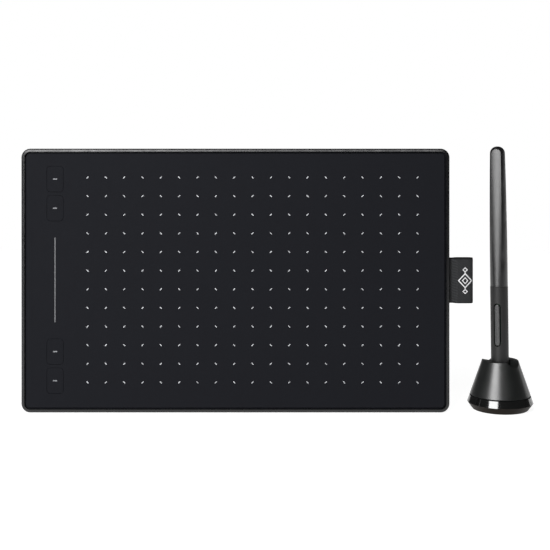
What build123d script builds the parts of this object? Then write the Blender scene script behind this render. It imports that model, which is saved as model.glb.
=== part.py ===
from build123d import *
from math import atan, cos, degrees, radians, sin, sqrt
import os

# A pen tablet, its battery-free pen and the pen's stand, in millimetres.
# +X is to the right of someone facing the drawing surface, +Z is up and the surface faces -Y.
# The origin is on the floor, under the middle of the whole set. The tablet stands on its long edge.

# Tablet: outside
tablet_width = 288.0
tablet_depth = 177.5
tablet_corner = 6.0
case_thickness = 7.8
foot_height = 0.8

# Tablet: rim, groove and front cover
rim_width = 2.2
groove_width = 1.2
bevel_width = 1.9
bevel_drop = 0.7
bevel_round = 1.2
underside_round = 2.0
floor_thickness = 1.2
cover_thickness = 1.4
cover_flange = 0.9
cover_fit = 0.15
cover_skirt = 1.6
cover_edge = 0.3

# Tablet: grid of printed marks over the drawing area
mark_columns = 19
mark_rows = 12
mark_pitch_x = 12.31
mark_pitch_y = 12.51
mark_length = 1.8
mark_width = 0.6
mark_height = 0.05
grid_offset_x = 11.5
controls_raise = 0.6

# Tablet: press keys and scroll strip
key_inset = 22.9
key_width = 11.0
key_length = 17.2
key_corner = 2.5
key_gap = 0.15
key_end_inset = 21.05
key_pitch = 19.55
key_travel = 0.35
key_edge = 0.12
key_stem_radius = 1.6
key_lip = 0.8
key_lip_thickness = 0.6
key_rest_gap = 0.1
dash_length = 3.0
dash_width = 0.85
dash_height = 0.2
strip_length = 57.0
strip_width = 0.7
strip_proud = 0.15
strip_fit = 0.05
strip_lip = 1.3
strip_lip_thickness = 0.4
film_width = 9.0
film_thickness = 0.25
film_margin = 3.0

# Tablet: boards
adhesive_thickness = 0.15
digitizer_thickness = 0.8
shield_thickness = 0.25
board_margin = 4.0
board_corner = 1.5
control_board_width = 31.7
control_board_margin = 5.3
control_board_thickness = 1.0
control_board_height = 3.4
board_gap = 0.4
control_board_corner = 2.0
post_radius = 2.5
post_inset_x = 4.0
post_inset_y = 6.0
switch_size = 4.6
switch_thickness = 0.8
plunger_height = 0.15
key_stem_gap = 0.05
chip_thickness = 0.9
flex_width = 12.0
flex_thickness = 0.2
flex_y = -20.0
flex_joint = 5.0
flex_overlap = 0.5
flex_bend = 1.0
flex_drop = 3.0
flex_landing = 2.79
lamp_width = 1.6
lamp_length = 0.8
lamp_height = 0.6
lamp_inset = 4.0
shield_margin = 0.5
adhesive_margin = 1.0
chip_corner = 0.2
rib_thickness = 1.0
rib_columns = 5
rib_rows = 3

# Tablet: fasteners, feet and ribbon
boss_inset_x = 12.0
boss_inset_y = 9.75
boss_radius = 2.6
pad_radius = 3.75
pad_height = 1.6
screw_radius = 0.95
screw_hole_radius = 1.0
screw_head_radius = 1.9
screw_head_height = 1.1
screw_end_gap = 0.6
drive_width = 2.2
drive_slot = 0.5
foot_length = 22.0
foot_width = 8.0
foot_inset_x = 16.0
foot_recess = 0.6
foot_fit = 0.15
foot_edge = 0.3
ribbon_width = 30.5
ribbon_thickness = 0.8
ribbon_reach = 16.2
ribbon_layer_gap = 0.1
ribbon_loop_radius = 2.9
ribbon_centre = 4.7
ribbon_flare = 4.3
ribbon_lead = 1.5
ribbon_tail = 7.0
ribbon_slot_fit = 0.15
clamp_width = 4.0
clamp_thickness = 0.75
clamp_margin = 5.0
clamp_screw_inset = 2.0
clamp_screw_radius = 0.8
clamp_hole_radius = 0.9
clamp_head_radius = 1.5
clamp_head_height = 0.5

# USB-C socket in the left edge
usb_width = 9.0
usb_height = 3.2
usb_depth = 7.4
usb_wall = 0.3
usb_inset = 0.6
usb_y = 28.0
usb_fit = 0.2
usb_tongue_width = 6.7
usb_tongue_thickness = 0.7
usb_tongue_inset = 0.8
usb_block_depth = 1.5
usb_block_fit = 0.05

# Pen
pen_length = 167.5
pen_radius = 6.0
pen_tail_radius = 5.05
barrel_swell = 0.25
pen_tail_round = 4.75
pen_seam = 72.0
pen_seam_gap = 0.15
pen_seam_step = 0.08
pen_nose_end = 2.5
pen_nose_tip_radius = 1.8
pen_nose_length = 17.5
pen_nose_joint = 8.0
nose_joint_gap = 0.1
nose_spigot_radius = 2.5
nose_spigot_length = 3.0
nose_spigot_bore = 1.7
nose_bore_fit = 0.25
nose_guide = 2.0
grip_throat_depth = 0.5
grip_bore_start = 18.0
pen_bore = 4.5
pen_edge = 0.15
barrel_bore = 3.0
barrel_bore_end = 10.0
barrel_bore_point = 2.0
barrel_step = 28.0
barrel_step_length = 4.0
sleeve_length = 20.0
sleeve_below = 9.5
sleeve_fit = 0.05
sleeve_wall = 0.55
facet_tail = 4.05
facet_radius = 22.0
facet_clear = 0.02
slot_centre = 46.1
slot_length = 29.35
slot_width = 4.8
button_gap = 0.75
button_split = 43.7
split_gap = 0.15
button_proud = 0.35
button_depth = 1.7
button_travel = 0.35
button_edge = 0.4
button_post_radius = 0.9
ridge_height = 57.05
ridge_width = 2.0
ridge_length = 0.9
ridge_proud = 0.3
ridge_notch = 55.95
groove_height = 39.3
groove_length = 8.2
groove_slot = 0.6
groove_deep = 0.25
nib_length = 17.5
nib_radius = 0.8
nib_travel = 0.4
nib_point_radius = 0.45
nib_point_height = 0.4
nib_taper = 2.2
plunger_start = 12.0
plunger_radius = 1.45
plunger_end_gap = 0.1
nib_press_fit = 0.02
core_start = 12.5
core_end = 25.8
core_radius = 2.6
core_fit = 0.1
coil_start = 2.0
coil_end = 1.5
coil_radius = 3.2
coil_fit = 0.02
holder_gap = 0.1
holder_fit = 0.15
holder_end_gap = 0.15
sensor_face = 30.55
sensor_radius = 2.6
sensor_thickness = 1.8
pen_board_gap = 0.1
pen_board_end = 98.0
pen_board_width = 7.0
pen_board_half = 0.5
carrier_wall = 1.05
carrier_end = 10.0
pen_switch_length = 3.2
pen_switch_width = 2.6
pen_switch_height = 1.2
pen_switch_corner = 0.3
pen_plunger_radius = 0.6
pen_plunger_height = 0.3
button_rest_gap = 0.1
pen_lean = 0.7
pen_roll = 27.0
pen_pivot = 12.0

# Pen stand
stand_gap = 14.4
stand_setback = 13.0
stand_radius = 22.15
stand_height = 33.2
stand_top_radius = 12.2
stand_foot_radius = 18.8
stand_widest = 4.7
stand_seam = 9.4
crown_edge = 0.5
seam_gap = 0.25
ring_edge = 0.3
shell_edge = 0.4
shell_step = 0.6
shell_wall = 1.75
tube_wall = 1.2
shell_fit = 0.15
crown_depth = 6.2
mouth_radius = 6.6
liner_wall_fit = 0.1
liner_outer_radius = 7.1
liner_top = 28.0
liner_bottom = 10.0
liner_floor = 0.9
pen_clearance = 0.3
pen_tip_height = 11.6
notch_radius = 7.0
notch_depth = 3.5
notch_angle = 41.0
foot_floor = 1.5
foot_plate = 1.4
pad_wall = 1.3
pad_edge = 0.2
hub_radius = 4.0
weight_height = 4.5
weight_fit = 0.3
weight_screw_ring = 11.0
weight_screw_length = 3.4
ring_bore = 16.2
collar_radius = 17.6
collar_height = 2.7
tray_height = 4.6
tray_bore = 8.7
tray_floor = 1.0
nib_ring_radius = 10.3
spare_count = 10
nib_rest_gap = 0.05
puller_thickness = 1.0
puller_fit = 0.1
puller_bore_fit = 0.15
puller_slot_x = 1.8
puller_slot_length = 2.4
puller_slot_width = 0.5
pad_hole_inset = 1.0
weight_hole_inset = 0.8

# Levels through the tablet, measured from the surface that its feet stand on
case_bottom = foot_height
floor_top = case_bottom + floor_thickness
case_top = case_bottom + case_thickness
bevel_start = case_top - bevel_drop
cover_underside = case_top - cover_thickness
cover_seat = cover_underside - cover_flange - cover_fit
lower_wall = rim_width + groove_width
shield_bottom = cover_underside - adhesive_thickness - digitizer_thickness - shield_thickness

# Where the tablet and the stand are
set_width = tablet_width + stand_gap + 2 * stand_radius
tablet_x = (tablet_width - set_width) / 2
stand_x = set_width / 2 - stand_radius
feet_y = case_top - stand_setback
tablet_base = Plane(origin=(tablet_x, feet_y, tablet_depth / 2), x_dir=(1, 0, 0), z_dir=(0, -1, 0))
stand_section = Plane(origin=(stand_x, 0, 0), x_dir=(1, 0, 0), z_dir=(0, -1, 0))
stand_axis = Axis((stand_x, 0, 0), (0, 0, 1))

# The pen leans a little in its socket, and its buttons look to the front left
pen_up = Vector(-sin(radians(pen_lean)), 0, cos(radians(pen_lean)))
pen_front = Vector(-sin(radians(pen_roll)), -cos(radians(pen_roll)), 0)
pen_tip = Vector(stand_x, 0, pen_tip_height + pen_pivot) - pen_up * pen_pivot
pen_base = Plane(origin=pen_tip, x_dir=pen_front, z_dir=pen_up)
pen_section = Plane(origin=pen_tip, x_dir=pen_base.x_dir, z_dir=-pen_base.y_dir)
pen_axis = Axis(pen_tip, pen_up)

half_width = tablet_width / 2
half_depth = tablet_depth / 2
key_x = key_inset - half_width
key_outer_y = half_depth - key_end_inset
key_inner_y = key_outer_y - key_pitch
key_centres = [controls_raise + y for y in (key_outer_y, key_inner_y, -key_inner_y, -key_outer_y)]
boss_centres = [
    (side * (half_width - boss_inset_x), end * (half_depth - boss_inset_y)) for side in (-1, 1) for end in (-1, 1)
]
foot_centres = [
    (side * (half_width - foot_inset_x), end * (half_depth - boss_inset_y)) for side in (-1, 1) for end in (-1, 1)
]
digitizer_width = (mark_columns - 1) * mark_pitch_x + 2 * board_margin
digitizer_depth = (mark_rows - 1) * mark_pitch_y + 2 * board_margin
digitizer_left = grid_offset_x - digitizer_width / 2
control_board_length = 2 * (key_outer_y + control_board_margin)
control_board_x = -half_width + lower_wall + board_gap + control_board_width / 2
control_board_top = control_board_height + control_board_thickness
post_spacing = (control_board_width - 2 * post_inset_x, control_board_length - 2 * post_inset_y)
usb_centre = control_board_height + control_board_thickness / 2 + usb_fit

os.makedirs("parts", exist_ok=True)


def save(piece, name):
    piece.part.label = name
    export_step(piece.part, f"parts/{name}.step")


def tablet_level(height):
    return tablet_base.offset(height)


def tablet_outline(inset):
    RectangleRounded(tablet_width - 2 * inset, tablet_depth - 2 * inset, tablet_corner - inset * 0.99)


def turned_stand(points):
    """Turns a closed half section, given as distance from the axis and height, round the stand's axis."""
    with BuildSketch(stand_section) as section:
        with BuildLine():
            Polyline(*points, close=True)
        make_face()
    revolve(section.sketch, axis=stand_axis)


def pen_level(height):
    return pen_base.offset(height)


def pen_side(height, distance=0.0):
    """The plane across the pen at a height above its tip, looking out through its buttons."""
    centre = pen_tip + pen_up * height + pen_base.x_dir * distance
    return Plane(origin=centre, x_dir=pen_up, z_dir=pen_base.x_dir)


# Rear housing: a tray whose wall makes the bevelled rim seen around the front cover
with BuildPart() as rear_housing:
    with BuildSketch(tablet_level(case_bottom)):
        tablet_outline(0)
    extrude(amount=bevel_start - case_bottom)
    fillet(rear_housing.faces().sort_by(Axis.Y)[-1].edges(), underside_round)
    with BuildSketch(tablet_level(bevel_start)):
        tablet_outline(0)
    with BuildSketch(tablet_level(case_top)):
        tablet_outline(bevel_width)
    loft(ruled=True)
    bevel_y = feet_y - bevel_start
    fillet(rear_housing.edges().filter_by_position(Axis.Y, bevel_y - 0.01, bevel_y + 0.01), bevel_round)
    with BuildSketch(tablet_level(cover_seat)):
        tablet_outline(rim_width)
    extrude(amount=case_top - cover_seat, mode=Mode.SUBTRACT)
    with BuildSketch(tablet_level(floor_top)):
        tablet_outline(lower_wall)
    extrude(amount=cover_seat - floor_top, mode=Mode.SUBTRACT)
    # Ribs that hold the digitizer flat
    with BuildSketch(tablet_level(floor_top)):
        with Locations((grid_offset_x, 0)):
            with GridLocations(digitizer_width / (rib_columns + 1), 0, rib_columns, 1):
                Rectangle(rib_thickness, digitizer_depth - board_margin)
            with GridLocations(0, digitizer_depth / (rib_rows + 1), 1, rib_rows):
                Rectangle(digitizer_width - board_margin, rib_thickness)
    extrude(amount=shield_bottom - floor_top)
    # Posts under the control board, pads at the screws and the pad under the ribbon's clamp
    with BuildSketch(tablet_level(floor_top)):
        with Locations((control_board_x, 0)):
            with GridLocations(*post_spacing, 2, 2):
                Circle(post_radius)
    extrude(amount=control_board_height - floor_top)
    with BuildSketch(tablet_level(floor_top)):
        with Locations(*boss_centres):
            Circle(pad_radius)
    extrude(amount=pad_height)
    with BuildSketch(tablet_level(floor_top)):
        with Locations((half_width - lower_wall - ribbon_tail / 2, 0)):
            Rectangle(ribbon_tail, ribbon_width + 2 * clamp_margin + 2 * clamp_screw_radius)
    extrude(amount=ribbon_centre - ribbon_thickness - ribbon_layer_gap / 2 - floor_top)
    # Recesses for the feet, with the screw heads inside them
    with BuildSketch(tablet_level(case_bottom)):
        with Locations(*foot_centres):
            SlotOverall(foot_length, foot_width)
    extrude(amount=foot_recess, mode=Mode.SUBTRACT)
    with BuildSketch(tablet_level(case_bottom)):
        with Locations(*boss_centres):
            Circle(screw_head_radius + foot_fit)
    extrude(amount=foot_recess + screw_head_height + foot_fit, mode=Mode.SUBTRACT)
    with BuildSketch(tablet_level(case_bottom)):
        with Locations(*boss_centres):
            Circle(screw_hole_radius)
    extrude(amount=case_thickness / 2, mode=Mode.SUBTRACT)
    # Slot for the ribbon, in the right wall
    slot_height = 2 * ribbon_thickness + ribbon_layer_gap + 2 * ribbon_slot_fit
    with BuildSketch(tablet_level(ribbon_centre - slot_height / 2)):
        with Locations((half_width - lower_wall / 2, 0)):
            Rectangle(2 * lower_wall, ribbon_width + 2 * ribbon_slot_fit)
    extrude(amount=slot_height, mode=Mode.SUBTRACT)
    # Window for the USB-C socket, in the left wall
    usb_window = Plane(
        origin=tablet_base.from_local_coords((-half_width - 1, usb_y, usb_centre)), x_dir=(0, 0, 1), z_dir=(1, 0, 0)
    )
    with BuildSketch(usb_window):
        SlotOverall(usb_width + 2 * usb_fit, usb_height + 2 * usb_fit)
    extrude(amount=lower_wall + 2, mode=Mode.SUBTRACT)
save(rear_housing, "rear_housing")

# Front cover: the drawing surface in one piece with the key field, on a flange inside the rim
with BuildPart() as front_cover:
    with BuildSketch(tablet_level(cover_seat)):
        tablet_outline(rim_width + cover_fit)
    extrude(amount=cover_underside - cover_fit - cover_seat)
    with BuildSketch(tablet_level(cover_seat)):
        tablet_outline(lower_wall)
    extrude(amount=case_top - cover_seat)
    chamfer(front_cover.faces().sort_by(Axis.Y)[0].edges(), cover_edge)
    with BuildSketch(tablet_level(cover_seat)):
        tablet_outline(lower_wall + cover_skirt)
    extrude(amount=cover_underside - cover_seat, mode=Mode.SUBTRACT)
    with BuildSketch(tablet_level(floor_top + pad_height)):
        with Locations(*boss_centres):
            Circle(boss_radius)
    extrude(amount=cover_underside - floor_top - pad_height)
    with BuildSketch(tablet_level(floor_top + pad_height)):
        with Locations(*boss_centres):
            Circle(screw_hole_radius)
    extrude(amount=cover_underside - floor_top - pad_height, mode=Mode.SUBTRACT)
    with BuildSketch(tablet_level(cover_underside)):
        with Locations(*[(key_x, y) for y in key_centres]):
            RectangleRounded(key_width + 2 * key_gap, key_length + 2 * key_gap, key_corner + key_gap)
        with Locations((key_x, controls_raise)):
            SlotOverall(strip_length + 2 * strip_fit, strip_width + 2 * strip_fit, rotation=90)
    extrude(amount=cover_thickness, mode=Mode.SUBTRACT)
save(front_cover, "front_cover")

# Four press keys, flush with the cover, each with a raised dash and a lip that stops it under the cover
key_top = case_top
key_stem_end = control_board_top + switch_thickness + plunger_height + key_stem_gap + key_travel
for number, key_y in enumerate(key_centres, start=1):
    with BuildPart() as key:
        with BuildSketch(tablet_level(cover_underside - key_rest_gap)):
            with Locations((key_x, key_y)):
                RectangleRounded(key_width, key_length, key_corner)
        extrude(amount=key_top - cover_underside + key_rest_gap)
        chamfer(key.faces().sort_by(Axis.Y)[0].edges(), key_edge)
        with BuildSketch(tablet_level(cover_underside - key_rest_gap - key_lip_thickness)):
            with Locations((key_x, key_y)):
                RectangleRounded(key_width + 2 * key_lip, key_length + 2 * key_lip, key_corner + key_lip)
        extrude(amount=key_lip_thickness)
        with BuildSketch(tablet_level(key_stem_end)):
            with Locations((key_x, key_y)):
                Circle(key_stem_radius)
        extrude(amount=cover_underside - key_rest_gap - key_lip_thickness - key_stem_end)
        with BuildSketch(tablet_level(key_top)):
            with Locations((key_x, key_y)):
                SlotOverall(dash_length, dash_width)
        extrude(amount=dash_height)
        fillet(key.faces().sort_by(Axis.Y)[0].edges(), dash_height * 0.6)
    save(key, f"key_{number}")

# Scroll strip: a thin ridge in a slot of the cover, with a touch film behind it
with BuildPart() as scroll_strip:
    with BuildSketch(tablet_level(cover_underside)):
        with Locations((key_x, controls_raise)):
            SlotOverall(strip_length, strip_width, rotation=90)
    extrude(amount=cover_thickness + strip_proud)
    fillet(scroll_strip.faces().sort_by(Axis.Y)[0].edges(), strip_proud * 0.6)
    with BuildSketch(tablet_level(cover_underside - strip_lip_thickness)):
        with Locations((key_x, controls_raise)):
            SlotOverall(strip_length + 2 * strip_lip, strip_width + 2 * strip_lip, rotation=90)
    extrude(amount=strip_lip_thickness)
save(scroll_strip, "scroll_strip")

with BuildPart() as touch_film:
    with BuildSketch(tablet_level(cover_underside - strip_lip_thickness - film_thickness)):
        with Locations((key_x, controls_raise)):
            Rectangle(film_width, strip_length + 2 * film_margin)
    extrude(amount=film_thickness)
save(touch_film, "touch_film")

# Printed marks: short slashes whose slant alternates from one to the next
with BuildPart() as grid_marks:
    with BuildSketch(tablet_level(case_top)):
        for column in range(mark_columns):
            for row in range(mark_rows):
                mark_x = grid_offset_x + (column - (mark_columns - 1) / 2) * mark_pitch_x
                mark_y = controls_raise + ((mark_rows - 1) / 2 - row) * mark_pitch_y
                slant = 45 if (column + row) % 2 == 0 else -45
                with Locations((mark_x, mark_y)):
                    SlotOverall(mark_length, mark_width, rotation=slant)
    extrude(amount=mark_height)
save(grid_marks, "grid_marks")

# Digitizer stack under the drawing area
digitizer_top = cover_underside - adhesive_thickness
for name, level, thickness, inset in (
    ("panel_adhesive", digitizer_top, adhesive_thickness, adhesive_margin),
    ("digitizer_board", digitizer_top - digitizer_thickness, digitizer_thickness, 0.0),
):
    with BuildPart() as layer:
        with BuildSketch(tablet_level(level)):
            with Locations((grid_offset_x, controls_raise)):
                RectangleRounded(digitizer_width - 2 * inset, digitizer_depth - 2 * inset, board_corner)
        extrude(amount=thickness)
    save(layer, name)

with BuildPart() as shield_plate:
    with BuildSketch(tablet_level(shield_bottom)):
        with Locations((grid_offset_x + flex_joint / 2, controls_raise)):
            RectangleRounded(
                digitizer_width - flex_joint - 2 * shield_margin, digitizer_depth - 2 * shield_margin, board_corner
            )
    extrude(amount=shield_thickness)
save(shield_plate, "shield_plate")

# Control board along the left side, with its switches, chips, lamp and USB-C socket
usb_back = -half_width + usb_inset + usb_depth
with BuildPart() as control_board:
    with BuildSketch(tablet_level(control_board_height)):
        with Locations((control_board_x, 0)):
            RectangleRounded(control_board_width, control_board_length, control_board_corner)
        notch_left = control_board_x - control_board_width / 2
        with Locations(((notch_left + usb_back) / 2, usb_y)):
            Rectangle(usb_back - notch_left + usb_fit, usb_width + 2 * usb_fit, mode=Mode.SUBTRACT)
    extrude(amount=control_board_thickness)
save(control_board, "control_board")

with BuildPart() as key_switches:
    with BuildSketch(tablet_level(control_board_top)):
        with Locations(*[(key_x, y) for y in key_centres]):
            RectangleRounded(switch_size, switch_size, switch_size * 0.1)
    extrude(amount=switch_thickness)
    with BuildSketch(tablet_level(control_board_top + switch_thickness)):
        with Locations(*[(key_x, y) for y in key_centres]):
            Circle(switch_size / 4)
    extrude(amount=plunger_height)
save(key_switches, "key_switches")

chip_places = [(-6.0, 8.0, 7.0, 7.0), (6.0, 10.0, 5.0, 6.0), (6.0, -6.0, 4.0, 4.0), (-5.0, -12.0, 3.2, 2.5)]
with BuildPart() as control_chips:
    for chip_x, chip_y, chip_width, chip_length in chip_places:
        with BuildSketch(tablet_level(control_board_top)):
            with Locations((control_board_x + chip_x, chip_y)):
                RectangleRounded(chip_width, chip_length, chip_corner)
        extrude(amount=chip_thickness)
save(control_chips, "control_chips")

with BuildPart() as status_lamp:
    with BuildSketch(tablet_level(control_board_top)):
        with Locations((key_x, controls_raise + strip_length / 2 - lamp_inset)):
            Rectangle(lamp_width, lamp_length)
    extrude(amount=lamp_height)
save(status_lamp, "status_lamp")

usb_mouth = Plane(
    origin=tablet_base.from_local_coords((-half_width + usb_inset, usb_y, usb_centre)), x_dir=(0, 0, 1), z_dir=(1, 0, 0)
)
with BuildPart() as usb_shell:
    with BuildSketch(usb_mouth):
        SlotOverall(usb_width, usb_height)
    extrude(amount=usb_depth)
    with BuildSketch(usb_mouth):
        SlotOverall(usb_width - 2 * usb_wall, usb_height - 2 * usb_wall)
    extrude(amount=usb_depth - usb_wall, mode=Mode.SUBTRACT)
save(usb_shell, "usb_shell")

with BuildPart() as usb_tongue:
    with BuildSketch(usb_mouth.offset(usb_tongue_inset)):
        Rectangle(usb_tongue_width, usb_tongue_thickness)
    extrude(amount=usb_depth - usb_wall - usb_tongue_inset)
    with BuildSketch(usb_mouth.offset(usb_depth - usb_wall - usb_block_depth)):
        block_inset = 2 * (usb_wall + usb_block_fit)
        SlotOverall(usb_width - block_inset, usb_height - block_inset)
    extrude(amount=usb_block_depth)
save(usb_tongue, "usb_tongue")

# Flat cable from the digitizer's bare left end down to the control board
flex_top = digitizer_top - digitizer_thickness
flex_path = [
    (digitizer_left + flex_joint - flex_overlap, flex_top - flex_thickness),
    (digitizer_left - flex_bend, flex_top - flex_thickness),
    (digitizer_left - flex_drop, control_board_top),
    (control_board_x + control_board_width / 2 - flex_landing, control_board_top),
]
flex_section = Plane(
    origin=tablet_base.from_local_coords((0, flex_y + flex_width / 2, 0)), x_dir=(1, 0, 0), z_dir=(0, 0, -1)
)
with BuildPart() as digitizer_flex:
    with BuildSketch(flex_section):
        with BuildLine():
            Polyline(*flex_path, *[(x, z + flex_thickness) for x, z in reversed(flex_path)], close=True)
        make_face()
    extrude(amount=flex_width)
save(digitizer_flex, "digitizer_flex")

# Cover screws, driven from the back under the feet
screw_seat = case_bottom + foot_recess + screw_head_height + foot_fit
with BuildPart() as cover_screws:
    with BuildSketch(tablet_level(screw_seat - screw_head_height)):
        with Locations(*boss_centres):
            Circle(screw_head_radius)
    extrude(amount=screw_head_height)
    with BuildSketch(tablet_level(screw_seat)):
        with Locations(*boss_centres):
            Circle(screw_radius)
    extrude(amount=cover_underside - screw_seat - screw_end_gap)
    for screw_x, screw_y in boss_centres:
        with BuildSketch(tablet_level(screw_seat - screw_head_height)):
            with Locations((screw_x, screw_y)):
                Rectangle(drive_width, drive_slot)
                Rectangle(drive_slot, drive_width)
        extrude(amount=screw_head_height / 2, mode=Mode.SUBTRACT)
save(cover_screws, "cover_screws")

# Four rubber feet in their recesses
foot_names = ("foot_left_bottom", "foot_left_top", "foot_right_bottom", "foot_right_top")
for name, foot_centre in zip(foot_names, foot_centres):
    with BuildPart() as foot:
        with BuildSketch(tablet_level(0)):
            with Locations(foot_centre):
                SlotOverall(foot_length - 2 * foot_fit, foot_width - 2 * foot_fit)
        extrude(amount=foot_height + foot_recess)
        chamfer(foot.faces().sort_by(Axis.Y)[-1].edges(), foot_edge)
    save(foot, name)

# Ribbon: one strip of woven tape, folded into a loop that holds the pen, its two ends clamped inside
layer_offset = (ribbon_thickness + ribbon_layer_gap) / 2
flare_drop = ribbon_loop_radius - layer_offset
flare_angle = 2 * degrees(atan(flare_drop / ribbon_flare))
flare_radius = ribbon_flare / (2 * sin(radians(flare_angle)))
ribbon_end_x = half_width + ribbon_reach - ribbon_loop_radius - ribbon_thickness / 2
ribbon_section = Plane(
    origin=tablet_base.from_local_coords((0, ribbon_width / 2, 0)), x_dir=(1, 0, 0), z_dir=(0, 0, -1)
)
with BuildPart() as ribbon_loop:
    with BuildSketch(ribbon_section):
        with BuildLine() as ribbon_path:
            near_layer = ribbon_centre - layer_offset
            inner = (half_width - lower_wall - ribbon_tail + 1.5, near_layer)
            lead_out = Line(inner, (half_width + ribbon_lead, near_layer))
            open_1 = JernArc(start=lead_out @ 1, tangent=(1, 0), radius=flare_radius, arc_size=-flare_angle)
            open_2 = JernArc(start=open_1 @ 1, tangent=open_1 % 1, radius=flare_radius, arc_size=flare_angle)
            run_out = Line(open_2 @ 1, (ribbon_end_x, ribbon_centre - ribbon_loop_radius))
            turn = JernArc(start=run_out @ 1, tangent=(1, 0), radius=ribbon_loop_radius, arc_size=180)
            mirror(about=Plane.XZ.offset(-ribbon_centre), objects=[lead_out, open_1, open_2, run_out])
        trace(line_width=ribbon_thickness)
    extrude(amount=ribbon_width)
save(ribbon_loop, "ribbon_loop")

clamp_bottom = ribbon_centre + ribbon_thickness + ribbon_layer_gap / 2
clamp_x = half_width - lower_wall - cover_skirt - cover_fit - clamp_width / 2
clamp_screw_y = ribbon_width / 2 + clamp_margin - clamp_screw_inset
clamp_screw_places = [(clamp_x, clamp_screw_y), (clamp_x, -clamp_screw_y)]
with BuildPart() as ribbon_clamp:
    with BuildSketch(tablet_level(clamp_bottom)):
        with Locations((clamp_x, 0)):
            RectangleRounded(clamp_width, ribbon_width + 2 * clamp_margin, clamp_width / 4)
        with Locations(*clamp_screw_places):
            Circle(clamp_hole_radius, mode=Mode.SUBTRACT)
    extrude(amount=clamp_thickness)
save(ribbon_clamp, "ribbon_clamp")

clamp_screw_start = ribbon_centre - ribbon_thickness - ribbon_layer_gap / 2
with BuildPart() as clamp_screws:
    with BuildSketch(tablet_level(clamp_screw_start)):
        with Locations(*clamp_screw_places):
            Circle(clamp_screw_radius)
    extrude(amount=clamp_bottom + clamp_thickness - clamp_screw_start)
    with BuildSketch(tablet_level(clamp_bottom + clamp_thickness)):
        with Locations(*clamp_screw_places):
            Circle(clamp_head_radius)
    extrude(amount=clamp_head_height)
save(clamp_screws, "clamp_screws")

# Pen: the grip and its nose share one ogive from the barrel's full radius down to the nib
ogive_top = pen_nose_end + pen_nose_length
ogive_fall = pen_radius - pen_nose_tip_radius
ogive_radius = (ogive_fall**2 + pen_nose_length**2) / (2 * ogive_fall)


def ogive(height, offset=0.0):
    """The pen's outer radius at a height above its tip, below the straight part, plus an offset."""
    return pen_radius - ogive_radius + sqrt((ogive_radius + offset) ** 2 - (ogive_top - height) ** 2)


def ogive_arc(low, high, offset=0.0):
    middle = (low + high) / 2
    ThreePointArc((ogive(low, offset), low), (ogive(middle, offset), middle), (ogive(high, offset), high))


with BuildPart() as pen_nose:
    nose_bore = nib_radius + nose_bore_fit
    nose_top = pen_nose_joint - nose_joint_gap
    with BuildSketch(pen_section):
        with BuildLine():
            ogive_arc(pen_nose_end, nose_top)
            Polyline(
                (ogive(nose_top), nose_top),
                (nose_spigot_radius, nose_top),
                (nose_spigot_radius, pen_nose_joint + nose_spigot_length),
                (nose_spigot_bore, pen_nose_joint + nose_spigot_length),
                (nose_spigot_bore, pen_nose_joint),
                (nose_bore, pen_nose_end + nose_guide),
                (nose_bore, pen_nose_end),
                (ogive(pen_nose_end), pen_nose_end),
            )
        make_face()
    revolve(axis=pen_axis)
save(pen_nose, "pen_nose")

slot_side = pen_side(slot_centre)
grip_throat = nose_spigot_radius + nose_joint_gap
with BuildPart() as pen_grip:
    with BuildSketch(pen_section):
        with BuildLine():
            ogive_arc(pen_nose_joint, ogive_top)
            Polyline(
                (pen_radius, ogive_top),
                (pen_radius, pen_seam),
                (pen_bore, pen_seam),
                (pen_bore, grip_bore_start),
                (grip_throat, pen_nose_joint + grip_throat_depth),
                (grip_throat, pen_nose_joint),
                (ogive(pen_nose_joint), pen_nose_joint),
            )
        make_face()
    revolve(axis=pen_axis)
    with BuildSketch(slot_side):
        SlotOverall(slot_length, slot_width)
    extrude(amount=pen_radius + 1, mode=Mode.SUBTRACT)
    rim_edges = pen_grip.edges().filter_by(GeomType.CIRCLE).sort_by(pen_axis)
    chamfer(rim_edges.filter_by(lambda e: abs(e.radius - pen_radius) < 0.01).sort_by(pen_axis)[-1], pen_edge)
save(pen_grip, "pen_grip")

# Rear barrel: it swells a little, tapers to a rounded tail and has a flattened face that deepens towards it
barrel_start = pen_seam + pen_seam_gap
barrel_end = pen_length - pen_tail_round
barrel_radius = pen_radius - pen_seam_step


def facet_share(height):
    """How far a height on the barrel lies from the seam towards the tail."""
    return (height - pen_seam) / (pen_length - pen_seam)


def facet_level(height):
    """The plane across the pen at a height, centred on the circle that trims the barrel's face there."""
    away = (facet_tail - facet_radius) * facet_share(height)
    centre = pen_tip + pen_up * height + pen_base.x_dir * away
    return Plane(origin=centre, x_dir=pen_base.y_dir, z_dir=pen_up)


with BuildPart() as pen_barrel:
    with BuildSketch(pen_section):
        with BuildLine():
            ThreePointArc(
                (barrel_radius, barrel_start),
                ((barrel_radius + pen_tail_radius) / 2 + barrel_swell, (barrel_start + barrel_end) / 2),
                (pen_tail_radius, barrel_end),
            )
            RadiusArc(
                (pen_tail_radius, barrel_end),
                (pen_tail_radius - pen_tail_round, pen_length),
                -pen_tail_round,
            )
            Polyline(
                (pen_tail_radius - pen_tail_round, pen_length),
                (0, pen_length),
                (0, pen_length - barrel_bore_end + barrel_bore_point),
                (barrel_bore, pen_length - barrel_bore_end),
                (barrel_bore, pen_seam + barrel_step + barrel_step_length),
                (pen_bore, pen_seam + barrel_step),
                (pen_bore, barrel_start),
                (barrel_radius, barrel_start),
            )
        make_face()
    revolve(axis=pen_axis)
    # The face fades out towards the seam: the trimming circle is the barrel's own there, and wide at the tail
    with BuildSketch(facet_level(pen_seam)):
        Circle(barrel_radius + facet_clear)
    with BuildSketch(facet_level(pen_length + pen_radius)):
        Circle(barrel_radius + (facet_radius - barrel_radius) * facet_share(pen_length + pen_radius))
    loft(ruled=True, mode=Mode.INTERSECT)
save(pen_barrel, "pen_barrel")

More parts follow.
